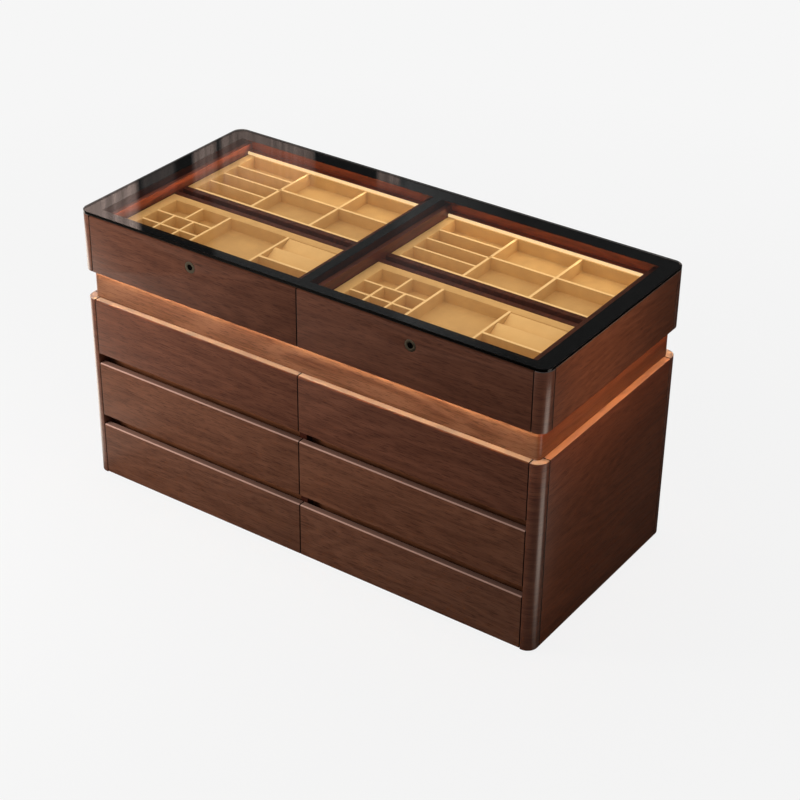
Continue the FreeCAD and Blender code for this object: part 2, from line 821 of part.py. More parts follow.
def makeTrays(column):
    centre = bayCentreX * columns[column]
    makeTray(
        f"{column}_rear_tray", centre, rearTrayY,
        (dim.rim_left, dim.rim_right, dim.divider, dim.rim_end), rearTrayWalls)
    makeTray(
        f"{column}_front_tray", centre, frontTrayY,
        (dim.rim_left_front, dim.rim_right, dim.rim_front, dim.rim_wide), frontTrayWalls)


def makeRingPad(column):
    """Two sloping tiers that stand behind each other in the right-hand cell of the front tray."""
    centre = bayCentreX * columns[column]
    left = centre - trayHalf + dim.second_column + dim.divider / 2 + dim.tray_seat_gap
    right = centre + trayHalf - dim.rim_right - dim.tray_seat_gap
    backY = frontTrayY[1] - dim.rim_wide - dim.tray_seat_gap
    tierLength = (dim.ring_pad_length - dim.tray_seat_gap * 2) / 2
    height = dim.tray_depth - dim.ring_pad_drop
    tiers = []
    for tier in (1, 2):
        frontY = backY - tierLength * tier
        body = newBody(f"{column}_ring_pad_{tier}", left, frontY, trayFloorTop)
        sketch = newSketch(body, "YZ_Plane")
        drawOutline(sketch, [
            (zero, zero), (tierLength, zero), (tierLength, height),
            (tierLength - dim.ring_pad_toe, height), (zero, dim.ring_pad_toe),
        ])
        pad(body, sketch, right - left)
        tiers.append(body)
    finish(f"{column}_ring_pad", tiers)


# ------------------------------------------------------------------ locks
def makeLock(column):
    """A cylinder lock: a flanged housing in the front, and a plug with a cam behind it."""
    centre = bayCentreX * columns[column]
    z = caseTop - dim.lock_drop
    housingLength = dim.front_thickness + dim.drawer_board
    housing = newBody(f"{column}_lock_housing_body", centre, innerFrontY, z)
    ring = newSketch(housing, "XZ_Plane")
    drawCircle(ring, dim.lock_barrel_radius)
    drawCircle(ring, dim.lock_plug_radius + dim.lock_clearance)
    pad(housing, ring, housingLength)
    flange = newSketch(housing, "XZ_Plane", housingLength - dim.lock_flange)
    drawCircle(flange, dim.lock_flange_radius)
    drawCircle(flange, dim.lock_plug_radius + dim.lock_clearance)
    pad(housing, flange, dim.lock_flange)
    finish(f"{column}_lock_housing", [housing])

    camBackY = innerFrontY + dim.race_clearance + dim.cam_thickness
    plugLength = camBackY - faceY - dim.lock_recess
    plug = newBody(f"{column}_lock_plug_body", centre, camBackY, z)
    cam = newSketch(plug, "XZ_Plane")
    half = dim.cam_width / 2
    drawOutline(cam, rectangle((-dim.cam_length, half), (-half, half)))
    pad(plug, cam, dim.cam_thickness)
    core = newSketch(plug, "XZ_Plane")
    drawCircle(core, dim.lock_plug_radius)
    pad(plug, core, plugLength)
    slot = newSketch(plug, "XZ_Plane", plugLength)
    slotX = dim.key_slot_width / 2
    slotZ = dim.key_slot_height / 2
    drawOutline(slot, rectangle((-slotX, slotX), (-slotZ, slotZ)))
    pocket(plug, slot, dim.key_slot_depth)
    finish(f"{column}_lock_plug", [plug])


# ------------------------------------------------------------------ the whole island
makeGlassTop()
makeEnamelBorder()
makeGlassBedding()
makeCornerPosts()
makeSidePanels()
makeBackPanels()
makeCaseBoards()
makePartitions()
makeBayLiners()
makeWaist()
makeLights()
makeCaseRails()
makeFingerRails()
makeGlides()
for columnName in columns:
    for rowName in ["jewel", *chestRows]:
        makeDrawerFront(columnName, rowName)
        makeRunners(columnName, rowName)
    for rowName in chestRows:
        makeChestBox(columnName, rowName)
    makeJewelBox(columnName)
    makeTrays(columnName)
    makeRingPad(columnName)
    makeLock(columnName)
finish("cabinet_runner_members", cabinetMembers)
finish("runner_battens", battens)
doc.recompute()

# ------------------------------------------------------------------ checks and export
for item in doc.Objects:
    if "Invalid" in item.State or "Error" in item.State:
        raise RuntimeError(f"{item.Name} ({item.Label}) failed: {item.State}")
for item in parts:
    if item.Shape.isNull() or not item.Shape.isValid() or not item.Shape.Solids:
        raise RuntimeError(f"{item.Label} has no valid solid")
for item in parts:
    item.Shape.exportStep(f"parts/{item.Label}.step")
    print(f"{item.Label}: {len(item.Shape.Solids)} solids, {item.Shape.Volume / 1000:.1f} cm3")
print(f"{len(parts)} sub-parts")
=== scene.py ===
import json
import math

import bmesh
import bpy
from mathutils import Matrix, Vector

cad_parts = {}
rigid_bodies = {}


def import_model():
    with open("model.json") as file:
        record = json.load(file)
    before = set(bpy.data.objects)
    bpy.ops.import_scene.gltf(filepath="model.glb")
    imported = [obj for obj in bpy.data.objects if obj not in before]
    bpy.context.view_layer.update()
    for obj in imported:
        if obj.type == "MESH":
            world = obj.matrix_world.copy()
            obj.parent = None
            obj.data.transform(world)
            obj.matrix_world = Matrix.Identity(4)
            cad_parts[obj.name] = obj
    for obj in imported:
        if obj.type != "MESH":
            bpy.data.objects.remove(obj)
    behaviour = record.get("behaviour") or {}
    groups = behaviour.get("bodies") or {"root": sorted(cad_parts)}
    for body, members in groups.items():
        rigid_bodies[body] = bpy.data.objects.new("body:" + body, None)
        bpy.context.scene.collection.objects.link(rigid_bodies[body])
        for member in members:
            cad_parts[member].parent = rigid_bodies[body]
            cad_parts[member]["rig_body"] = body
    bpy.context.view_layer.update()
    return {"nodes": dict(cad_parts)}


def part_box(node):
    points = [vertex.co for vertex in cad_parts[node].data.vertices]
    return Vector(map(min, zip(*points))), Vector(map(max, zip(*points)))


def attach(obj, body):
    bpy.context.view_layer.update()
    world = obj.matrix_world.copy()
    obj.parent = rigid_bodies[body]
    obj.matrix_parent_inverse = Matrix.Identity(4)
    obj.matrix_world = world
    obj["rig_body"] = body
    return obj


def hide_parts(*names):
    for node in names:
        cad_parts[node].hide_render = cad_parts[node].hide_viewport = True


# Closet island with drawers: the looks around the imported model.
# Metres, +Z up, drawer fronts towards -Y.

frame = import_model()
nodes = frame["nodes"]
columns = {"left": -1, "right": 1}   # which side of the middle each one is on
rows = ["jewel", "upper", "middle", "lower"]
print("frame loaded:", len(nodes), "nodes")


# small helpers for objects

meshRules = {
    "weld": 0.00001,       # corners nearer than this become one
    "flat": 1,             # degrees under which two faces count as one
    "sharp": 30,           # degrees over which an edge is eased
    "smooth": 35,          # degrees under which shading runs on
    "levelBand": 0.00002,  # how far a corner may lie from its level
    "facing": 0.9,         # vertical part of a normal that counts as up or down
    "digits": 5,           # places kept when corners are compared
}


def deselectAll():
    if bpy.context.object and bpy.context.object.mode != "OBJECT":
        bpy.ops.object.mode_set(mode="OBJECT")
    bpy.ops.object.select_all(action="DESELECT")


def makeActive(piece):
    deselectAll()
    piece.select_set(True)
    bpy.context.view_layer.objects.active = piece


def applyModifier(piece, kind, **settings):
    makeActive(piece)
    modifier = piece.modifiers.new(kind.lower(), kind)
    for name, value in settings.items():
        setattr(modifier, name, value)
    bpy.ops.object.modifier_apply(modifier=modifier.name)


def softenEdges(piece, width, segments):
    # a small round on every sharp edge, then smooth shading with clean flat faces
    applyModifier(
        piece, "BEVEL", width=width, segments=segments, limit_method="ANGLE",
        angle_limit=math.radians(meshRules["sharp"]), harden_normals=False)
    makeActive(piece)
    bpy.ops.object.shade_smooth_by_angle(angle=math.radians(meshRules["smooth"]))


def settle(piece):
    # the place goes into the mesh, the object stays at the origin
    makeActive(piece)
    bpy.ops.object.transform_apply(location=True, rotation=True, scale=True)


def paint(piece, material):
    piece.data.materials.clear()
    piece.data.materials.append(material)


def dress(piece, node, material):
    # the piece stands for a node and moves with the node's body
    paint(piece, material)
    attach(piece, nodes[node]["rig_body"])
    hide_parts(node)


def copyOfNode(node, name):
    # a welded copy of a node's mesh, ready to be shaped
    piece = bpy.data.objects.new(name, nodes[node].data.copy())
    bpy.context.scene.collection.objects.link(piece)
    makeActive(piece)
    bpy.ops.object.mode_set(mode="EDIT")
    bpy.ops.mesh.select_all(action="SELECT")
    bpy.ops.mesh.remove_doubles(threshold=meshRules["weld"])
    bpy.ops.mesh.dissolve_limited(angle_limit=math.radians(meshRules["flat"]))
    bpy.ops.object.mode_set(mode="OBJECT")
    return piece


def easedCopy(node, edge, material):
    # stands for the node, with its sharp edges eased; edge is the width and the segments
    piece = copyOfNode(node, node + ".eased")
    softenEdges(piece, *edge)
    dress(piece, node, material)


def cornersOf(mesh, polygon):
    # a polygon's corners, and the rectangle (x0, y0, x1, y1) that it covers seen from above
    points = [mesh.vertices[index].co for index in polygon.vertices]
    xs = [round(point.x, meshRules["digits"]) for point in points]
    ys = [round(point.y, meshRules["digits"]) for point in points]
    return points, (min(xs), min(ys), max(xs), max(ys))


def levelRectangles(node, level):
    # the rectangles of a node's upward faces at one height
    found = set()
    mesh = nodes[node].data
    for polygon in mesh.polygons:
        points, rectangle = cornersOf(mesh, polygon)
        atLevel = all(abs(point.z - level) <= meshRules["levelBand"] for point in points)
        if atLevel and polygon.normal.z > meshRules["facing"]:
            found.add(rectangle)
    return sorted(found)


def boardsOf(node):
    # the boards of a node that is made of rectangular boards, as (low, high) corners
    levels = {}
    mesh = nodes[node].data
    for polygon in mesh.polygons:
        if abs(polygon.normal.z) < meshRules["facing"]:
            continue
        points, rectangle = cornersOf(mesh, polygon)
        tops, bottoms = levels.setdefault(rectangle, (set(), set()))
        (tops if polygon.normal.z > 0 else bottoms).add(round(points[0].z, meshRules["digits"]))
    boards = []
    for (x0, y0, x1, y1), (tops, bottoms) in sorted(levels.items()):
        for bottom, top in zip(sorted(bottoms), sorted(tops)):
            boards.append((Vector((x0, y0, bottom)), Vector((x1, y1, top))))
    return boards


def addBlock(low, high):
    bpy.ops.mesh.primitive_cube_add(size=1, location=(low + high) / 2, scale=high - low)
    piece = bpy.context.object
    settle(piece)
    return piece


def addBoard(low, high, edge):
    # one board with softened edges
    piece = addBlock(low, high)
    softenEdges(piece, *edge)
    return piece


def joinPieces(pieces, name):
    deselectAll()
    for piece in pieces:
        piece.select_set(True)
    bpy.context.view_layer.objects.active = pieces[0]
    if len(pieces) > 1:
        bpy.ops.object.join()
    joined = bpy.context.object
    joined.name = name
    joined.data.name = name
    return joined


# small helpers for materials

def feed(tree, socket, value):
    # a socket is linked, and anything else is set as a plain value
    if isinstance(value, bpy.types.NodeSocket):
        tree.links.new(value, socket)
    else:
        socket.default_value = value


def newGroup(name, inputs, outputs):
    # a shader node group with named sockets; an input has its kind and its default, or None
    group = bpy.data.node_groups.new(name, "ShaderNodeTree")
    for label, (kind, value) in inputs.items():
        socket = group.interface.new_socket(name=label, in_out="INPUT", socket_type=kind)
        if value is not None:
            socket.default_value = value
    for label, kind in outputs.items():
        group.interface.new_socket(name=label, in_out="OUTPUT", socket_type=kind)
    start = group.nodes.new("NodeGroupInput")
    end = group.nodes.new("NodeGroupOutput")
    return group, start.outputs, end.inputs


def addNode(tree, kind, settings=None, **inputs):
    # a node with its settings; an input is called by its name, or by i and its number
    node = tree.nodes.new(kind)
    for name, value in (settings or {}).items():
        setattr(node, name, value)
    for name, value in inputs.items():
        numbered = name[0] == "i" and name[1:].isdigit()
        feed(tree, node.inputs[int(name[1:]) if numbered else name.replace("_", " ")], value)
    return node


def mathNode(tree, operation, first, second=None, clamp=False):
    node = addNode(tree, "ShaderNodeMath", {"operation": operation, "use_clamp": clamp}, i0=first)
    if second is not None:
        feed(tree, node.inputs[1], second)
    return node.outputs[0]


def plus(tree, first, second, clamp=False):
    return mathNode(tree, "ADD", first, second, clamp)


def times(tree, first, second, clamp=False):
    return mathNode(tree, "MULTIPLY", first, second, clamp)


def restOfOne(tree, value, clamp=False):
    return mathNode(tree, "SUBTRACT", 1.0, value, clamp)


def mapRange(tree, value, low, high, newLow=0.0, newHigh=1.0):
    node = addNode(tree, "ShaderNodeMapRange", {"clamp": True},
                   i0=value, i1=low, i2=high, i3=newLow, i4=newHigh)
    return node.outputs[0]


def mixColor(tree, factor, first, second, blend="MIX"):
    node = addNode(tree, "ShaderNodeMix", {"data_type": "RGBA", "blend_type": blend},
                   i0=factor, i6=first, i7=second)
    return node.outputs[2]


def noise(tree, vector, scale, detail=2.0, roughness=0.5):
    node = addNode(tree, "ShaderNodeTexNoise",
                   Vector=vector, Scale=scale, Detail=detail, Roughness=roughness)
    return node.outputs["Fac"]


def mapped(tree, vector, scale=(1, 1, 1), location=(0, 0, 0), rotation=(0, 0, 0), kind="POINT"):
    node = addNode(tree, "ShaderNodeMapping", {"vector_type": kind},
                   Vector=vector, Location=location, Rotation=rotation, Scale=scale)
    return node.outputs["Vector"]


def axesOf(tree, vector):
    # the parts of a vector along X, Y and Z
    return addNode(tree, "ShaderNodeSeparateXYZ", Vector=vector).outputs


def facingOf(tree, axis):
    # how far the surface faces along one axis
    return axesOf(tree, tree.nodes.new("ShaderNodeNewGeometry").outputs["Normal"])[axis]


def rgba(color):
    return (*color, 1.0)


# values of a noise that become 0 and 1, where it mixes colours and where it sets roughness
noiseEnds = {"color": (0.3, 0.7), "roughness": (0.2, 0.8)}


def newMaterial(name, **values):
    # a Principled material and its object coordinates; values go on the shader's own sockets
    material = bpy.data.materials.new(name)
    material.use_nodes = True
    tree = material.node_tree
    shader = tree.nodes["Principled BSDF"]
    for label, value in values.items():
        shader.inputs[label.replace("_", " ")].default_value = value
    place = tree.nodes.new("ShaderNodeTexCoord").outputs["Object"]
    return material, tree, shader.inputs, place


def addBump(tree, shader, height, distance, strength=1.0):
    bump = addNode(tree, "ShaderNodeBump", Height=height, Distance=distance, Strength=strength)
    feed(tree, shader["Normal"], bump.outputs["Normal"])


# walnut grain, shared by every veneer

grainSet = {
    "figureStretch": (0.75, 3.4, 3.4),
    "figureRoughness": 0.45,
    "figureLines": 150.0,    # how closely the lines of the figure follow each other
    "figureContrast": 1.5,
    "toneEnds": (0.18, 0.92),
    "poreTint": (0.36, 0.31, 0.30),
    "polish": (0.34, 0.48),  # roughness between the fibres and on them
    "fibreRelief": 0.35,     # against the depth of a pore
}
# stretch along and across the grain, shift, detail, roughness, and the values that become 0 and 1
grainLayers = {
    "broad": ((0.8, 9.0, 9.0), (3.1, 0.4, 1.7), 2.0, 0.5, 0.34, 0.66),
    "coarse": ((2.2, 85.0, 85.0), (0, 0, 0), 2.0, 0.5, 0.32, 0.68),
    "fibre": ((7.0, 240.0, 240.0), (1.3, 0.2, 2.2), 3.0, 0.6, 0.30, 0.70),
    "pore": ((34.0, 620.0, 620.0), (0.7, 2.3, 0.2), 1.0, 0.5, 0.56, 0.64),
}
toneShares = {"broad": 0.20, "coarse": 0.34, "fibre": 0.38}


def grainLayer(group, place, name):
    stretch, shift, detail, roughness, low, high = grainLayers[name]
    field = noise(group, mapped(group, place, stretch, shift), 1.0, detail, roughness)
    return mapRange(group, field, low, high)


def makeGrainGroup():
    # veneer with its grain along X: faint growth figure, fine fibres and short dark pores
    group, start, end = newGroup(
        "walnutGrain",
        {"Vector": ("NodeSocketVector", None), "Light": ("NodeSocketColor", None),
         "Dark": ("NodeSocketColor", None), "Figure": ("NodeSocketFloat", 0.5),
         "Pores": ("NodeSocketFloat", 0.5)},
        {"Color": "NodeSocketColor", "Roughness": "NodeSocketFloat", "Height": "NodeSocketFloat"})
    place = start["Vector"]
    # growth figure: level lines of a slow, long field
    slow = noise(group, mapped(group, place, grainSet["figureStretch"]), 1.0,
                 roughness=grainSet["figureRoughness"])
    rings = mathNode(group, "SINE", times(group, slow, grainSet["figureLines"]))
    rings = mathNode(group, "POWER", mapRange(group, rings, -1.0, 1.0), grainSet["figureContrast"])
    layers = {name: grainLayer(group, place, name) for name in grainLayers}
    tone = times(group, rings, start["Figure"])
    for name, share in toneShares.items():
        tone = plus(group, tone, times(group, layers[name], share))
    tone = mapRange(group, tone, *grainSet["toneEnds"])
    color = mixColor(group, tone, start["Dark"], start["Light"])
    poreMask = times(group, layers["pore"], start["Pores"])
    poreColor = mixColor(group, 1.0, color, rgba(grainSet["poreTint"]), "MULTIPLY")
    feed(group, end["Color"], mixColor(group, poreMask, color, poreColor))
    feed(group, end["Roughness"], mapRange(group, layers["fibre"], 0.0, 1.0, *grainSet["polish"]))
    feed(group, end["Height"], mathNode(
        group, "SUBTRACT", times(group, layers["fibre"], grainSet["fibreRelief"]), poreMask))
    return group


grainGroup = makeGrainGroup()
grainTurns = {"x": (0, 0, 0), "y": (0, 0, math.radians(90)), "z": (0, math.radians(90), 0)}

walnutSet = {
    "pores": 0.64,
    "coatRoughness": 0.25,
    "specular": 0.22,
    "bumpDepth": 0.00012,
    "bumpStrength": 0.6,
    "topLightShare": 0.92,           # how fully the painted top light covers what looks up
    "topLightGrain": 0.20,           # how much of the grain shows through it
    "topLightStart": (0.70, 0.92),   # upward part of the normal over which the painted top light begins
    "roundLightStart": (0.35, 0.85),  # the same for a painted highlight on a rounded edge, weaker on the level face
    "roundLightEnd": (0.93, 0.99),
    "sideShadeTurn": (0.3, 0.9),      # sideways part of the normal over which the painted side shade begins
    # painted shade in the seams at the boards' ends: its colour, and how far it reaches in from
    # the outer and inner ends
    "seamShade": (0.010, 0.004, 0.002),
    "outerSeamShade": (0.0020, 0.0012),
    "innerSeamShade": (0.0016, 0.0008),
}


def paintTopLight(tree, color, edge, level):
    # painted light: the faces that look up take a paler tone, and a rounded top edge a painted
    # highlight; level is its share on the level face
    upward = facingOf(tree, "Z")
    if level is None:
        share = mapRange(tree, upward, *walnutSet["topLightStart"], 0.0, walnutSet["topLightShare"])
    else:
        share = mapRange(tree, upward, *walnutSet["roundLightStart"], 0.0, walnutSet["topLightShare"])
        share = times(tree, share, mapRange(tree, upward, *walnutSet["roundLightEnd"], 1.0, level))
    litTone = mixColor(tree, walnutSet["topLightGrain"], rgba(edge), color, "MULTIPLY")
    return mixColor(tree, share, color, litTone)


def paintSideShade(tree, color, tint):
    # painted shade: the boards that face sideways are darker and redder
    sideways = mathNode(tree, "ABSOLUTE", facingOf(tree, "X"))
    sideShaded = mixColor(tree, 1.0, color, rgba(tint), "MULTIPLY")
    return mixColor(tree, mapRange(tree, sideways, *walnutSet["sideShadeTurn"]), color, sideShaded)


def paintSeamShade(tree, color, place, axis, first, last):
    # painted shade: a dark line where a board meets its neighbour; first and last are the
    # distances from the middle at which these seams lie
    distance = mathNode(tree, "ABSOLUTE", axesOf(tree, place)[axis])
    seamShade = mapRange(tree, distance, *(last - depth for depth in walnutSet["outerSeamShade"]))
    if first is not None:
        inner = mapRange(tree, distance, *(first + depth for depth in walnutSet["innerSeamShade"]))
        seamShade = mathNode(tree, "MAXIMUM", seamShade, inner)
    return mixColor(tree, seamShade, color, rgba(walnutSet["seamShade"]))


def makeWalnut(name, leaf, tint=(1, 1, 1), axis="x", figure=0.26, coat=0.15,
               shift=(0, 0, 0), squeeze=(1, 1, 1), edge=None, level=None, sideShade=None, ends=None):
    # squeeze flattens the pattern along an axis, so that veneer can run on round a corner
    material, tree, shader, place = newMaterial(
        name, Coat_Weight=coat, Coat_Roughness=walnutSet["coatRoughness"],
        Specular_IOR_Level=walnutSet["specular"])
    # tint scales the leaf's tones; the fronts use it for painted light and shade, row by row
    light, dark = ([part * share for part, share in zip(tone, tint)] for tone in leaves[leaf])
    grain = addNode(
        tree, "ShaderNodeGroup", {"node_tree": grainGroup},
        Vector=mapped(tree, place, squeeze, shift, grainTurns[axis]),
        Light=rgba(light), Dark=rgba(dark), Figure=figure, Pores=walnutSet["pores"]).outputs
    color = grain["Color"]
    # painted light on the faces that look up, painted shade on the sideways faces and in the seams
    if edge:
        color = paintTopLight(tree, color, topLightTones[edge], level)
    if sideShade:
        color = paintSideShade(tree, color, sideShade)
    if ends:
        color = paintSeamShade(tree, color, place, *ends)
    feed(tree, shader["Base Color"], color)
    feed(tree, shader["Roughness"], grain["Roughness"])
    addBump(tree, shader, grain["Height"], walnutSet["bumpDepth"], walnutSet["bumpStrength"])
    return material


# suede nap, shared by the trays and the pads

suedeSet = {
    "patches": (22.0, 3.0, 0.6),     # scale, detail and roughness
    "nap": (950.0, 2.0, 0.6),
    "streaks": (1.0, 2.0, 0.6),
    "streakStretch": (60.0, 420.0, 420.0),
    "patchShare": 0.45,
    "napShare": 0.55,
    "streakShare": 0.25,
    "roughness": 0.92,
    "sheen": 0.25,
    "sheenRoughness": 0.45,
    "sheenTint": (1.0, 0.84, 0.60),
    "specular": 0.15,
    "bumpDepth": 0.0002,
    "bumpStrength": 0.5,
}


def makeSuedeGroup():
    # short brushed nap with patches that lean different ways
    group, start, end = newGroup(
        "suedeNap",
        {"Vector": ("NodeSocketVector", None), "Light": ("NodeSocketColor", None),
         "Dark": ("NodeSocketColor", None)},
        {"Color": "NodeSocketColor", "Height": "NodeSocketFloat"})
    place = start["Vector"]
    patches = mapRange(group, noise(group, place, *suedeSet["patches"]), *noiseEnds["color"])
    nap = noise(group, place, *suedeSet["nap"])
    streaks = noise(group, mapped(group, place, suedeSet["streakStretch"]), *suedeSet["streaks"])
    tone = plus(group, times(group, patches, suedeSet["patchShare"]),
                times(group, nap, suedeSet["napShare"]))
    tone = plus(group, tone, times(group, streaks, suedeSet["streakShare"]), clamp=True)
    feed(group, end["Color"], mixColor(group, tone, start["Dark"], start["Light"]))
    feed(group, end["Height"], nap)
    return group


suedeGroup = makeSuedeGroup()


def makeSuede(name, light, dark):
    material, tree, shader, place = newMaterial(
        name, Roughness=suedeSet["roughness"], Sheen_Weight=suedeSet["sheen"],
        Sheen_Roughness=suedeSet["sheenRoughness"], Sheen_Tint=rgba(suedeSet["sheenTint"]),
        Specular_IOR_Level=suedeSet["specular"])
    nap = addNode(tree, "ShaderNodeGroup", {"node_tree": suedeGroup},
                  Vector=place, Light=rgba(light), Dark=rgba(dark)).outputs
    feed(tree, shader["Base Color"], nap["Color"])
    addBump(tree, shader, nap["Height"], suedeSet["bumpDepth"], suedeSet["bumpStrength"])
    return material


# glass, enamel, bedding, metal, light and plastic

glassSet = {
    "ior": 1.28,               # low, so that reflections leave the trays clear
    "faceEnd": (0.99, 0.95),   # vertical part of the normal over which a polished face ends
    "arris": (0.15, 0.30),     # and over which the ground arris begins
    "groundRoughness": 0.42,
    "tint": (0.975, 0.990, 0.982),
    "clearTint": (0.985, 0.994, 0.990),
    "driftScale": 3.0,         # of the change from one tint to the other
    "ink": (0.020, 0.018, 0.016),
}


def makeGlass(name):
    # two polished faces with a trace of green, a ground arris, and an edge inked black
    material, tree, shader, place = newMaterial(
        name, Roughness=0.0, IOR=glassSet["ior"], Transmission_Weight=1.0, Metallic=0.0)
    facing = mathNode(tree, "ABSOLUTE", facingOf(tree, "Z"))
    offFace = mapRange(tree, facing, *glassSet["faceEnd"])
    ground = times(tree, mapRange(tree, facing, *glassSet["arris"]), offFace)
    feed(tree, shader["Roughness"], times(tree, ground, glassSet["groundRoughness"]))
    drift = mapRange(tree, noise(tree, place, glassSet["driftScale"]), *noiseEnds["color"])
    tint = mixColor(tree, drift, rgba(glassSet["tint"]), rgba(glassSet["clearTint"]))
    feed(tree, shader["Base Color"], mixColor(tree, offFace, tint, rgba(glassSet["ink"])))
    return material


enamelSet = {
    "ior": 1.65,
    "low": (0.0035, 0.0035, 0.0038),
    "high": (0.006, 0.006, 0.0063),
    "speckle": (700.0, 3.0, 0.6),
    "roughness": (0.008, 0.022),
}


def makeEnamel(name):
    material, tree, shader, place = newMaterial(name, IOR=enamelSet["ior"])
    speckle = noise(tree, place, *enamelSet["speckle"])
    share = mapRange(tree, speckle, *noiseEnds["color"])
    feed(tree, shader["Base Color"],
         mixColor(tree, share, rgba(enamelSet["low"]), rgba(enamelSet["high"])))
    feed(tree, shader["Roughness"],
         mapRange(tree, speckle, *noiseEnds["roughness"], *enamelSet["roughness"]))
    return material


rubberSet = {
    "specular": 0.3,
    "low": (0.008, 0.008, 0.008),
    "high": (0.016, 0.015, 0.015),
    "speckle": (900.0, 3.0, 0.7),
    "roughness": (0.62, 0.80),
    "bumpDepth": 0.0001,
}


def makeRubber(name):
    material, tree, shader, place = newMaterial(name, Specular_IOR_Level=rubberSet["specular"])
    speckle = noise(tree, place, *rubberSet["speckle"])
    feed(tree, shader["Base Color"],
         mixColor(tree, speckle, rgba(rubberSet["low"]), rgba(rubberSet["high"])))
    feed(tree, shader["Roughness"],
         mapRange(tree, speckle, *noiseEnds["roughness"], *rubberSet["roughness"]))
    addBump(tree, shader, speckle, rubberSet["bumpDepth"])
    return material


# light, dark, least and most roughness, and the axis of the fine lines
steels = {
    "runnerSteel": ((0.62, 0.62, 0.63), (0.42, 0.42, 0.44), (0.28, 0.42), "y"),
    "lockSteel": ((0.32, 0.27, 0.20), (0.17, 0.145, 0.11), (0.24, 0.34), "z"),
    # the plug is near black: painted shade that stands in for the dark of the keyway
    "lockPlugSteel": ((0.012, 0.010, 0.008), (0.005, 0.004, 0.003), (0.40, 0.60), "z"),
}
steelSet = {
    "lineStretch": (8.0, 900.0, 900.0),
    "patches": (30.0, 3.0),
    "patchEnds": (0.35, 0.65),
    "lineShare": 0.5,
    "patchShare": 0.5,
    "bumpDepth": 0.00003,
    "bumpStrength": 0.5,
}


def makeSteel(name):
    # fine lines along the piece, a few dull patches
    light, dark, roughness, axis = steels[name]
    material, tree, shader, place = newMaterial(name, Metallic=1.0)
    turned = mapped(tree, place, rotation=grainTurns[axis])
    lines = noise(tree, mapped(tree, turned, steelSet["lineStretch"]), 1.0)
    patches = mapRange(tree, noise(tree, place, *steelSet["patches"]), *steelSet["patchEnds"])
    feed(tree, shader["Base Color"], mixColor(tree, lines, rgba(dark), rgba(light)))
    dullness = plus(tree, times(tree, lines, steelSet["lineShare"]),
                    times(tree, patches, steelSet["patchShare"]))
    feed(tree, shader["Roughness"], mapRange(tree, dullness, 0.0, 1.0, *roughness))
    addBump(tree, shader, lines, steelSet["bumpDepth"], steelSet["bumpStrength"])
    return material


diffuserSet = {
    "base": (0.55, 0.46, 0.34),
    "glow": (1.0, 0.72, 0.38),
    "strength": 0.80,
    "roughness": 0.5,
    "beat": (1.0, 1.0),
    "beatStretch": (90.0, 90.0, 5.0),
    "beatDepth": 0.9,
}


def makeDiffuser(name):
    # frosted strip lit from within, with the faint beat of the diodes behind it
    material, tree, shader, place = newMaterial(
        name, Roughness=diffuserSet["roughness"], Emission_Strength=diffuserSet["strength"],
        Base_Color=rgba(diffuserSet["base"]))
    beat = noise(tree, mapped(tree, place, diffuserSet["beatStretch"]), *diffuserSet["beat"])
    dim = [part * diffuserSet["beatDepth"] for part in diffuserSet["glow"]]
    share = mapRange(tree, beat, *noiseEnds["color"])
    feed(tree, shader["Emission Color"],
         mixColor(tree, share, rgba(dim), rgba(diffuserSet["glow"])))
    return material


plasticSet = {
    "color": (0.015, 0.015, 0.016),
    "wear": 1.6,               # how much paler the worn patches are
    "texture": (1200.0, 2.0, 0.6),
    "patches": (60.0, 3.0),
    "patchEnds": (0.5, 0.8),
    "roughness": (0.42, 0.60),
    "bumpDepth": 0.00004,
}


def makePlastic(name):
    material, tree, shader, place = newMaterial(name)
    texture = noise(tree, place, *plasticSet["texture"])
    feed(tree, shader["Roughness"],
         mapRange(tree, texture, *noiseEnds["roughness"], *plasticSet["roughness"]))
    worn = [part * plasticSet["wear"] for part in plasticSet["color"]]
    wear = mapRange(tree, noise(tree, place, *plasticSet["patches"]), *plasticSet["patchEnds"])
    feed(tree, shader["Base Color"],
         mixColor(tree, wear, rgba(plasticSet["color"]), rgba(worn)))
    addBump(tree, shader, texture, plasticSet["bumpDepth"])
    return material


# the materials of this piece

# light and dark of each leaf of walnut, and the paler tones painted as light on faces that look up
leaves = {
    "shell": ((0.158, 0.055, 0.029), (0.097, 0.031, 0.016)),
    "deep": ((0.186, 0.056, 0.024), (0.114, 0.032, 0.013)),
    # paler than the shell: painted light, so that the rails deep in the shade of the finger gaps
    # still show
    "rail": ((0.240, 0.088, 0.040), (0.150, 0.052, 0.023)),
    "inner": ((0.170, 0.040, 0.018), (0.080, 0.018, 0.009)),
    # darker than the inner leaf: painted shade on the inner faces of the drawer sides
    "side": ((0.110, 0.028, 0.014), (0.052, 0.013, 0.007)),
    # darkest: painted shade on the bay walls and partitions under the glass
    "liner": ((0.074, 0.017, 0.009), (0.040, 0.0095, 0.005)),
    "waist": ((0.208, 0.098, 0.053), (0.100, 0.034, 0.015)),
}
topLightTones = {
    "shell": (0.370, 0.325, 0.305),
    "deep": (0.430, 0.285, 0.210),
    "rim": (0.900, 0.560, 0.450),
}
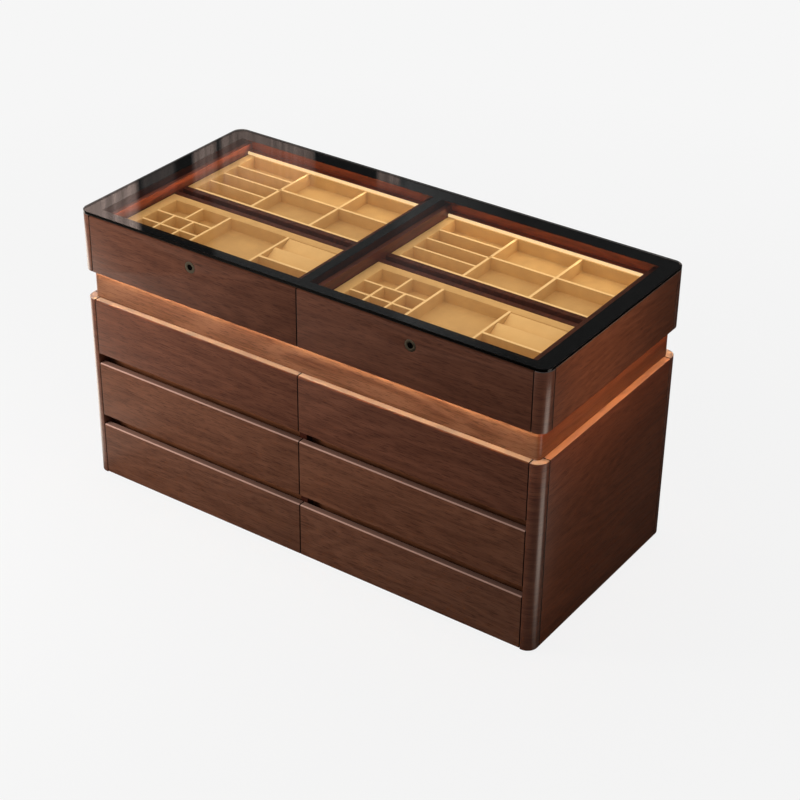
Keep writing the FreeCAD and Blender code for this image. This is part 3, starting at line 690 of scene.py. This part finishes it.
# the axis, and how far from the middle the boards begin and end; painted shade darkens the seams
# there
frontEnds = ("X", 0.00075, 0.7135)
panelEnds = ("Y", None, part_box("side_panels")[1].y)
veneers = {
    # edge picks the paler tone painted on the faces that look up: painted light on tops, ledges
    # and rounded rims
    "ShellAcross": {"leaf": "shell", "edge": "shell"},
    "ShellDeep": {"leaf": "deep", "axis": "y", "shift": (0.3, 1.7, 0.9), "edge": "deep",
                  "ends": panelEnds},
    "ShellRound": {"leaf": "shell", "squeeze": (1, 0.02, 1), "coat": 0.9, "edge": "shell"},
    # the fronts' tints are painted light and shade: the top row darker, the two lower rows paler
    # and less red, for how brightly each row is lit
    "Fronts_jewel": {"leaf": "shell", "tint": (0.88, 0.88, 0.88), "shift": (0.792, 0.4, 0.0),
                     "ends": frontEnds},
    "Fronts_upper": {"leaf": "shell", "shift": (0.9, 0.4, 0.0), "edge": "shell",
                     "ends": frontEnds},
    "Fronts_middle": {"leaf": "shell", "tint": (1.06, 1.16, 1.14), "shift": (0.954, 0.4, 0.0),
                      "edge": "rim", "level": 0.30, "ends": frontEnds},
    "Fronts_lower": {"leaf": "shell", "tint": (1.00, 1.16, 1.22), "shift": (0.9, 0.4, 0.0),
                     "edge": "rim", "level": 0.30, "ends": frontEnds},
    "Rails": {"leaf": "rail", "shift": (0.2, 0.7, 1.1)},
    "InnerAcross": {"leaf": "inner"},
    "InnerDeep": {"leaf": "side", "axis": "y"},
    "Liner": {"leaf": "liner", "axis": "y"},
    # painted shade: the waist's sideways boards are darkened and reddened, as less light reaches
    # them
    "Waist": {"leaf": "waist", "figure": 0.46, "coat": 0.3, "shift": (0.6, 2.9, 0.4),
              "squeeze": (1, 0.02, 1), "sideShade": (0.84, 0.58, 0.42)},
}
# light and dark of each suede
suedes = {
    "tray": ((0.70, 0.455, 0.20), (0.50, 0.315, 0.135)),
    # paler: painted light on the tops of the dividers
    "trayRimLit": ((0.96, 0.72, 0.40), (0.84, 0.59, 0.30)),
    "pad": ((0.84, 0.58, 0.28), (0.70, 0.46, 0.21)),
}

walnut = {name: makeWalnut("walnut" + name, **values) for name, values in veneers.items()}
suede = {name: makeSuede(name + "Suede", *tones) for name, tones in suedes.items()}
steel = {name: makeSteel(name) for name in steels}
glass = makeGlass("clearGlass")
enamel = makeEnamel("blackEnamel")
rubber = makeRubber("blackBedding")
diffuser = makeDiffuser("lightDiffuser")
glidePlastic = makePlastic("glidePlastic")
print("materials made:", len(bpy.data.materials))


# the nodes that keep their own mesh

keptNodes = {
    "glass_top": glass,
    "glass_bedding_strips": rubber,
    "chest_boards": walnut["InnerAcross"],
    "jewel_case_floor": walnut["InnerAcross"],
    "partitions": walnut["Liner"],
    "bay_liners": walnut["Liner"],
    "waist_boards": walnut["Waist"],
    "jewel_case_rails": walnut["InnerAcross"],
    "finger_gap_rails": walnut["Rails"],
    "floor_glides": glidePlastic,
    "cabinet_runner_members": steel["runnerSteel"],
    "runner_battens": walnut["InnerDeep"],
}
for column in columns:
    keptNodes[f"{column}_jewel_drawer_box"] = walnut["InnerDeep"]
    for row in rows:
        keptNodes[f"{column}_{row}_drawer_runners"] = steel["runnerSteel"]
        keptNodes[f"{column}_{row}_telescopic_members"] = steel["runnerSteel"]
for node, material in keptNodes.items():
    paint(nodes[node], material)
print("kept nodes painted:", len(keptNodes))


# enamel border

enamelBorder = {
    "airUnderGlass": 0.00005,
    "topBand": 0.0001,     # corners within this of the top belong to the upper face
}


def makeEnamelBorder(node):
    # the upper face lies a hair under the glass, so that light meets one face at a time
    border = copyOfNode(node, "enamelBorder")
    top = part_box(node)[1].z
    for vertex in border.data.vertices:
        if vertex.co.z > top - enamelBorder["topBand"]:
            vertex.co.z -= enamelBorder["airUnderGlass"]
    dress(border, node, enamel)


makeEnamelBorder("enamel_border")
print("enamel border laid")


# outer shell and drawer fronts

# width and segments of the eased edges
shellEdges = {"panel": (0.0007, 2), "post": (0.0006, 2), "front": (0.0008, 3)}
easedCopy("corner_posts", shellEdges["post"], walnut["ShellRound"])
easedCopy("side_panels", shellEdges["panel"], walnut["ShellDeep"])
easedCopy("back_panels", shellEdges["panel"], walnut["ShellAcross"])
for column in columns:
    for row in rows:
        easedCopy(f"{column}_{row}_drawer_front", shellEdges["front"],
                  walnut[f"Fronts_{row}"])
print("shell and fronts eased")


# drawer boxes

boxEdge = (0.0012, 2)   # width and segments


def makeDrawerBox(node):
    pieces = [addBoard(low, high, boxEdge) for low, high in boardsOf(node)]
    dress(joinPieces(pieces, node + ".boards"), node, walnut["InnerDeep"])


for column in columns:
    for row in rows[1:]:
        makeDrawerBox(f"{column}_{row}_drawer_box")
print("drawer boxes made")


# light bars

lightBars = {
    "strip": 0.005,    # width of the frosted strip on a bar
    "edge": (0.0006, 2),
    "slim": 0.010,     # a bar narrower than this is all strip
}


def makeLightBars(node):
    # each bar is a brown channel with a frosted strip along the edge that faces outwards
    strips, channels = [], []
    for low, high in boardsOf(node):
        size = high - low
        if min(size.x, size.y) < lightBars["slim"]:
            strips.append(addBoard(low, high, lightBars["edge"]))
            continue
        cut = low.y + lightBars["strip"]
        strips.append(addBoard(low, Vector((high.x, cut, high.z)), lightBars["edge"]))
        channels.append(addBoard(Vector((low.x, cut, low.z)), high, lightBars["edge"]))
    frosted = joinPieces(strips, node + ".frosted")
    channel = joinPieces(channels, node + ".channel")
    dress(frosted, node, diffuser)
    dress(channel, node, walnut["InnerAcross"])


makeLightBars("light_bars")
print("light bars made")


# suede trays, ring pads and locks

traySet = {
    "cellDepth": 0.035,
    "edge": (0.0016, 3),
    "sliver": 0.0002,      # a cut nearer than this to a side is left out
    "topBand": 0.0001,     # how far from the top a face may lie to be pressed in
    "facing": 0.9,
    "rimBand": 0.0012,     # how far down the painted lit rim reaches
    "rimFacing": 0.3,
    "thinHalf": 0.0082,    # a divider with room at this distance on both sides is thin
}
innerEdges = {"pad": (0.0016, 3), "housing": (0.0009, 3), "plug": (0.0003, 2)}


def cutAlong(axis, place):
    # a cut right through what is being edited, square to the axis at the place
    point, normal = [0, 0, 0], [0, 0, 0]
    point[axis], normal[axis] = place, 1
    bpy.ops.mesh.select_all(action="SELECT")
    bpy.ops.mesh.bisect(plane_co=point, plane_no=normal)


def makeTray(node):
    # a solid block whose cells are pressed in where the frame's dividers leave room
    low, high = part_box(node)
    walls = levelRectangles(node, high.z)

    def onWall(x, y):
        return any(wall[0] < x < wall[2] and wall[1] < y < wall[3] for wall in walls)

    tray = addBlock(low, high)
    bpy.ops.object.mode_set(mode="EDIT")
    for axis in (0, 1):
        for place in sorted({value for wall in walls for value in (wall[axis], wall[axis + 2])}):
            if min(place - low[axis], high[axis] - place) >= traySet["sliver"]:
                cutAlong(axis, place)
    bpy.ops.mesh.select_all(action="DESELECT")
    sketch = bmesh.from_edit_mesh(tray.data)
    for face in sketch.faces:
        middle = face.calc_center_median()
        onTop = face.normal.z >= traySet["facing"] and abs(middle.z - high.z) <= traySet["topBand"]
        if onTop:
            face.select = not onWall(middle.x, middle.y)
    bmesh.update_edit_mesh(tray.data)
    press = (0, 0, -traySet["cellDepth"])
    bpy.ops.mesh.extrude_region_move(TRANSFORM_OT_translate={"value": press})
    bpy.ops.mesh.select_all(action="SELECT")
    bpy.ops.mesh.normals_make_consistent(inside=False)
    bpy.ops.object.mode_set(mode="OBJECT")
    tray.name = node + ".suede"
    softenEdges(tray, *traySet["edge"])
    dress(tray, node, suede["tray"])
    # painted light: the upper edges of the thin dividers take a paler suede, for the light they
    # catch from above
    tray.data.materials.append(suede["trayRimLit"])
    steps = (-traySet["thinHalf"], traySet["thinHalf"])
    for polygon in tray.data.polygons:
        x, y, z = polygon.center
        if z < high.z - traySet["rimBand"] or polygon.normal.z < traySet["rimFacing"]:
            continue
        thin = not any(onWall(x + step, y) for step in steps) \
            or not any(onWall(x, y + step) for step in steps) \
            or not any(onWall(x + across, y + along) for across in steps for along in steps)
        if thin:
            polygon.material_index = 1


for column in columns:
    makeTray(f"{column}_rear_tray")
    makeTray(f"{column}_front_tray")
    easedCopy(f"{column}_ring_pad", innerEdges["pad"], suede["pad"])
    easedCopy(f"{column}_lock_housing", innerEdges["housing"], steel["lockSteel"])
    easedCopy(f"{column}_lock_plug", innerEdges["plug"], steel["lockPlugSteel"])
print("trays, pads and locks made")


# floor

backdrop = (0.9215, 0.9215, 0.9215)

floorSet = {
    "size": 60,
    "matte": (0.55, 0.55, 0.55),
    "shadowReach": (3.2, 1.0),    # distances from the middle over which the shadow sets in
    "shadowShare": 0.13,          # how much of the floor is matt next to the object
    "lift": 0.072,                # added glow there, for the light that the matt part takes
    "mirrored": 0.62,             # how bright mirrored rays find the floor
    "mirroredLeast": 0.05,
    "mirroredColor": (0.94, 0.86, 0.76),
    "beyondX": (-0.72, -0.80),    # it is bright beyond the left end
    "beyondY": (-0.70, -0.50),
    "beforeX": (0.6, -1.0),       # and dimmer before the fronts, towards the right
    "beforeY": (-0.34, -0.62),
    "beforeLevel": 0.75,
}
# fans of light on the floor that only the rounded corner posts mirror
fanSet = {
    "fans": [(0.73, 9, 21), (-0.73, 174, 20)],   # x of the corner, bearing and half width
    "y": -0.33,
    "blur": 6,                    # degrees by which a side is blurred
    "start": (0.0, 0.45),         # distances over which a fan grows and ends
    "end": (2.2, 1.7),
    "brightness": 2.3,
}


def rayShares(tree):
    # how far a ray is one the eye sees directly or through glass, and how far a mirrored one
    path = tree.nodes.new("ShaderNodeLightPath").outputs
    matt = mathNode(tree, "MINIMUM", path["Diffuse Depth"], 1.0)
    shiny = mathNode(tree, "MINIMUM", path["Glossy Depth"], 1.0)
    through = times(tree, path["Is Transmission Ray"], restOfOne(tree, matt))
    direct = times(tree, through, restOfOne(tree, shiny))
    seen = mathNode(tree, "MAXIMUM", path["Is Camera Ray"], direct)
    gloss = mathNode(tree, "MAXIMUM", path["Is Glossy Ray"], times(tree, through, shiny))
    return seen, times(tree, gloss, restOfOne(tree, seen), clamp=True)


def lightFan(tree, place, x, bearing, halfWidth):
    corner = mapped(tree, place, location=(x, fanSet["y"], 0),
                    rotation=(0, 0, math.radians(bearing)), kind="TEXTURE")
    axes = axesOf(tree, corner)
    angle = mathNode(tree, "ABSOLUTE", mathNode(tree, "ARCTAN2", axes["Y"], axes["X"]))
    across = mapRange(tree, angle, math.radians(halfWidth + fanSet["blur"]),
                      math.radians(halfWidth - fanSet["blur"]))
    along = times(tree, mapRange(tree, axes["X"], *fanSet["start"]),
                  mapRange(tree, axes["X"], *fanSet["end"]))
    return times(tree, times(tree, across, along), fanSet["brightness"])


def mirroredFloor(tree, place):
    # how bright mirrored rays find each part of the floor
    axes = axesOf(tree, place)
    beyond = times(tree, mapRange(tree, axes["X"], *floorSet["beyondX"]),
                   mapRange(tree, axes["Y"], *floorSet["beyondY"]))
    fade = mapRange(tree, axes["X"], *floorSet["beforeX"], 0.0, floorSet["beforeLevel"])
    before = times(tree, mathNode(tree, "POWER", fade, 2.0),
                   mapRange(tree, axes["Y"], *floorSet["beforeY"]))
    bright = mathNode(tree, "MAXIMUM", beyond, before)
    bright = mathNode(tree, "MAXIMUM", bright, floorSet["mirroredLeast"])
    bright = times(tree, bright, floorSet["mirrored"])
    for fan in fanSet["fans"]:
        bright = plus(tree, bright, lightFan(tree, place, *fan))
    return bright


def makeFloor():
    # plain to the eye, with a soft shadow near the object; mirrored rays find it lit in parts
    bpy.ops.mesh.primitive_plane_add(size=floorSet["size"], location=(0, 0, 0))
    floor = bpy.context.object
    floor.name = "studioFloor"
    material = bpy.data.materials.new("studioFloor")
    material.use_nodes = True
    tree = material.node_tree
    tree.nodes.remove(tree.nodes["Principled BSDF"])
    seen, gloss = rayShares(tree)
    place = tree.nodes.new("ShaderNodeTexCoord").outputs["Object"]
    reach = addNode(tree, "ShaderNodeVectorMath", {"operation": "LENGTH"}, i0=place)
    near = mapRange(tree, reach.outputs["Value"], *floorSet["shadowReach"])
    plain = plus(tree, 1.0, times(tree, near, floorSet["lift"]))
    strength = plus(tree, times(tree, seen, plain), times(tree, gloss, mirroredFloor(tree, place)))
    color = mixColor(tree, gloss, rgba(backdrop), rgba(floorSet["mirroredColor"]))
    glow = addNode(tree, "ShaderNodeEmission", Color=color, Strength=strength)
    matte = addNode(tree, "ShaderNodeBsdfDiffuse", Color=rgba(floorSet["matte"]))
    share = restOfOne(tree, times(tree, near, floorSet["shadowShare"]))
    share = plus(tree, times(tree, seen, share), gloss, clamp=True)
    mix = addNode(tree, "ShaderNodeMixShader", i0=share, i1=matte.outputs[0], i2=glow.outputs[0])
    feed(tree, tree.nodes["Material Output"].inputs["Surface"], mix.outputs[0])
    material.cycles.emission_sampling = "NONE"
    floor.data.materials.append(material)


# world

worldSet = {
    "mattStrength": 0.36,         # what the sky gives to matt surfaces
    "horizon": (0.04, 0.20),      # upward part of the direction over which the ceiling begins
    "ceiling": 0.03,              # how bright mirrored rays find it
    "sheenStart": (-0.61, -0.60),
    "sheenEnd": (-0.60, -0.54),
    "sheen": (0.14, 0.02),        # a dim sheen right of the hangings
    "hazeStart": (-0.712, -0.709),
    "hazeEnd": (-0.60, -0.61),
    "hazeFoot": (0.418, 0.425),
    "haze": 0.08,                 # a faint light above them
    "clothColor": (0.95, 0.72, 0.64),
    "clothColorGain": 4.0,
}
# bands that mirrored rays find behind the island: the bearings in radians at which one starts
# and ends, its brightness, and the upward part of the direction at its top hem
hangings = [
    (-2.0, -0.752, 0.95, 1.0),
    (-0.748, -0.731, 0.16, 0.418),
    (-0.719, -0.708, 0.60, 0.418),
    (-0.704, -0.654, 0.44, 0.418),
    (-0.617, -0.606, 0.42, 0.418),
]
clothSet = {
    "foldScale": 260.0,
    "foldEnds": (0.40, 0.60),
    "folds": (0.66, 1.14),        # brightness in and on the folds
    "outside": 0.002,             # how far a side is blurred outwards and inwards
    "inside": 0.001,
    "hemBlur": 0.007,
}


def clothBand(tree, bearing, upward, first, last, hem):
    outside, inside = clothSet["outside"], clothSet["inside"]
    band = times(tree, mapRange(tree, bearing, first - outside, first + inside),
                 mapRange(tree, bearing, last + outside, last - inside))
    return times(tree, band, mapRange(tree, upward, hem + clothSet["hemBlur"], hem))


def makeWorld():
    # plain to the eye and even for matt surfaces; mirrored rays find a dim ceiling and hangings
    world = bpy.data.worlds.new("studioWorld")
    bpy.context.scene.world = world
    world.use_nodes = True
    tree = world.node_tree
    axes = axesOf(tree, tree.nodes.new("ShaderNodeTexCoord").outputs["Generated"])
    bearing = mathNode(tree, "ARCTAN2", axes["X"], axes["Y"])
    ceiling = mapRange(tree, axes["Z"], *worldSet["horizon"], 1.0, worldSet["ceiling"])
    sheen = times(tree, mapRange(tree, bearing, *worldSet["sheenStart"]),
                  mapRange(tree, bearing, *worldSet["sheenEnd"], *worldSet["sheen"]))
    haze = times(tree, mapRange(tree, bearing, *worldSet["hazeStart"]),
                 mapRange(tree, bearing, *worldSet["hazeEnd"]))
    haze = times(tree, haze, mapRange(tree, axes["Z"], *worldSet["hazeFoot"],
                                      0.0, worldSet["haze"]))
    along = addNode(tree, "ShaderNodeCombineXYZ", X=bearing).outputs[0]
    folds = mapRange(tree, noise(tree, along, clothSet["foldScale"], 2.0, 0.6),
                     *clothSet["foldEnds"], *clothSet["folds"])
    cloths = 0.0
    for first, last, brightness, hem in hangings:
        band = clothBand(tree, bearing, axes["Z"], first, last, hem)
        cloths = plus(tree, times(tree, times(tree, band, folds), brightness), cloths)
    mirrored = plus(tree, plus(tree, plus(tree, ceiling, sheen), haze), cloths)
    seen, gloss = rayShares(tree)
    matt = restOfOne(tree, plus(tree, seen, gloss), clamp=True)
    strength = plus(tree, seen, times(tree, gloss, mirrored))
    strength = plus(tree, strength, times(tree, matt, worldSet["mattStrength"]))
    dusky = times(tree, gloss, times(tree, cloths, worldSet["clothColorGain"]), clamp=True)
    back = tree.nodes["Background"].inputs
    feed(tree, back["Strength"], strength)
    feed(tree, back["Color"],
         mixColor(tree, dusky, rgba(backdrop), rgba(worldSet["clothColor"])))


# lamps: place, target, size, energy, colour, and spread in degrees

lampColors = {
    "plain": (1.0, 1.0, 1.0),
    "day": (1.0, 0.98, 0.96),
    "wall": (1.0, 0.86, 0.76),
    "bay": (1.0, 0.83, 0.60),
    "cream": (1.0, 0.81, 0.54),
    "warm": (1.0, 0.80, 0.52),
    "board": (1.0, 0.60, 0.34),
    "amber": (1.0, 0.49, 0.17),
    "ruddy": (1.0, 0.41, 0.13),
}
studioLamps = {
    "keyLamp": ((-1.80, -1.75, 1.10), (-0.1, -0.3, 0.42), (1.0, 1.0), 45.0, "day", 180),
    "sideLamp": ((1.90, -0.35, 0.84), (0.75, -0.08, 0.80), (0.3, 0.3), 0.42, "wall", 36),
    "overheadLamp": ((0.3, 0.6, 3.4), (0, 0, 0.8), (2.6, 1.8), 18.0, "plain", 180),
}
# for the right-hand bay: the bar's light, the glow that the pale trays throw about under the
# glass, and the light of the bar on the rail behind it
bayLamps = {
    "BayBar": ((0.356, 0.284, 0.822), (0.356, -0.10, 0.770), (0.62, 0.012), 0.235, "warm", 180),
    "BayTop": ((0.356, -0.006, 0.838), (0.356, -0.006, 0.7), (0.66, 0.58), 1.18, "bay", 180),
    "RailGlow": ((0.356, 0.270, 0.834), (0.356, 0.330, 0.826), (0.62, 0.006), 0.065,
                 "amber", 100),
}
# a lit drawer side and a glow on the back rail at the far left
glowLamps = {
    "boardGlow": ((-0.655, 0.0, 0.838), (-0.676, 0.0, 0.820), (0.60, 0.004), 0.135, "board", 60),
    "backGlow": ((-0.585, 0.270, 0.834), (-0.585, 0.330, 0.826), (0.16, 0.006), 0.055,
                 "amber", 100),
}
# the strips under the overhang, all round the waist: how far each lies from the waist boards,
# its height, its spread, its energy, and its colour at the front and back
stripLamps = {
    "ledge": (0.0175, 0.666, 60, 0.30, "amber"),   # a narrow beam on the ledge
    "wash": (0.0160, 0.664, 180, 0.26, "amber"),   # a wash on the waist
    "waist": (0.0070, 0.658, 180, 0.46, "cream"),  # a line at its top
}
stripSet = {
    "halfLength": 0.730,   # of the waist
    "halfDepth": 0.330,
    "width": 0.003,
    "target": 0.5,         # the height that the strips point at
    "endShare": 0.32,      # energy of an end strip against a long one
    "endColor": "ruddy",
}


def addLamp(name, place, target, size, energy, color, spread):
    data = bpy.data.lights.new(name, "AREA")
    data.shape = "RECTANGLE"
    data.size, data.size_y = size
    data.energy = energy
    data.color = lampColors[color]
    data.spread = math.radians(spread)
    lamp = bpy.data.objects.new(name, data)
    bpy.context.scene.collection.objects.link(lamp)
    lamp.location = place
    direction = Vector(target) - Vector(place)
    lamp.rotation_euler = direction.to_track_quat("-Z", "Y").to_euler()
    lamp.visible_camera = False
    lamp.visible_transmission = False
    lamp.visible_glossy = False


def addStrips(name, out, height, spread, energy, color):
    # a strip at each side of the waist, pointing down
    x, y = stripSet["halfLength"] + out, stripSet["halfDepth"] + out
    target, width = stripSet["target"], stripSet["width"]
    for side, long, end in ((-1, "Front", "Left"), (1, "Back", "Right")):
        addLamp(f"{name}Lamp{long}", (0, y * side, height), (0, y * side, target),
                (2 * x, width), energy, color, spread)
        addLamp(f"{name}Lamp{end}", (x * side, 0, height), (x * side, 0, target),
                (width, 2 * y), energy * stripSet["endShare"], stripSet["endColor"], spread)


def makeLamps():
    for name, values in studioLamps.items():
        addLamp(name, *values)
    for column, side in columns.items():
        for name, (place, target, *values) in bayLamps.items():
            mirror = Vector((side, 1, 1))
            addLamp(column + name, Vector(place) * mirror, Vector(target) * mirror, *values)
    for name, values in glowLamps.items():
        addLamp(name, *values)
    for name, values in stripLamps.items():
        addStrips(name, *values)


# camera

cameraSet = {
    "focalPixels": 1959.28,   # focal length in pixels of a frame of framePixels
    "framePixels": 800,
    "sensor": 36,
    "reach": 100,
    "place": (2.73626, -3.84264, 3.18552),
    "yaw": -34.588,
    "pitch": -31.135,
    "roll": 0.778,
}


def makeCamera():
    yaw, pitch, roll = (math.radians(cameraSet[name]) for name in ("yaw", "pitch", "roll"))
    forward = Vector((
        math.cos(pitch) * math.sin(yaw), math.cos(pitch) * math.cos(yaw), math.sin(pitch)))
    level = Vector((math.cos(yaw), -math.sin(yaw), 0))
    upright = level.cross(forward)
    right = math.cos(roll) * level + math.sin(roll) * upright
    up = math.cos(roll) * upright - math.sin(roll) * level
    data = bpy.data.cameras.new("camera")
    data.sensor_width = cameraSet["sensor"]
    data.lens = cameraSet["focalPixels"] / cameraSet["framePixels"] * data.sensor_width
    data.clip_end = cameraSet["reach"]
    camera = bpy.data.objects.new("camera", data)
    bpy.context.scene.collection.objects.link(camera)
    turn = Matrix((right, up, -forward)).transposed().to_4x4()
    camera.matrix_world = Matrix.Translation(cameraSet["place"]) @ turn
    bpy.context.scene.camera = camera


makeFloor()
makeWorld()
makeLamps()
makeCamera()
bpy.context.scene.view_settings.view_transform = "Standard"
print("stage made")
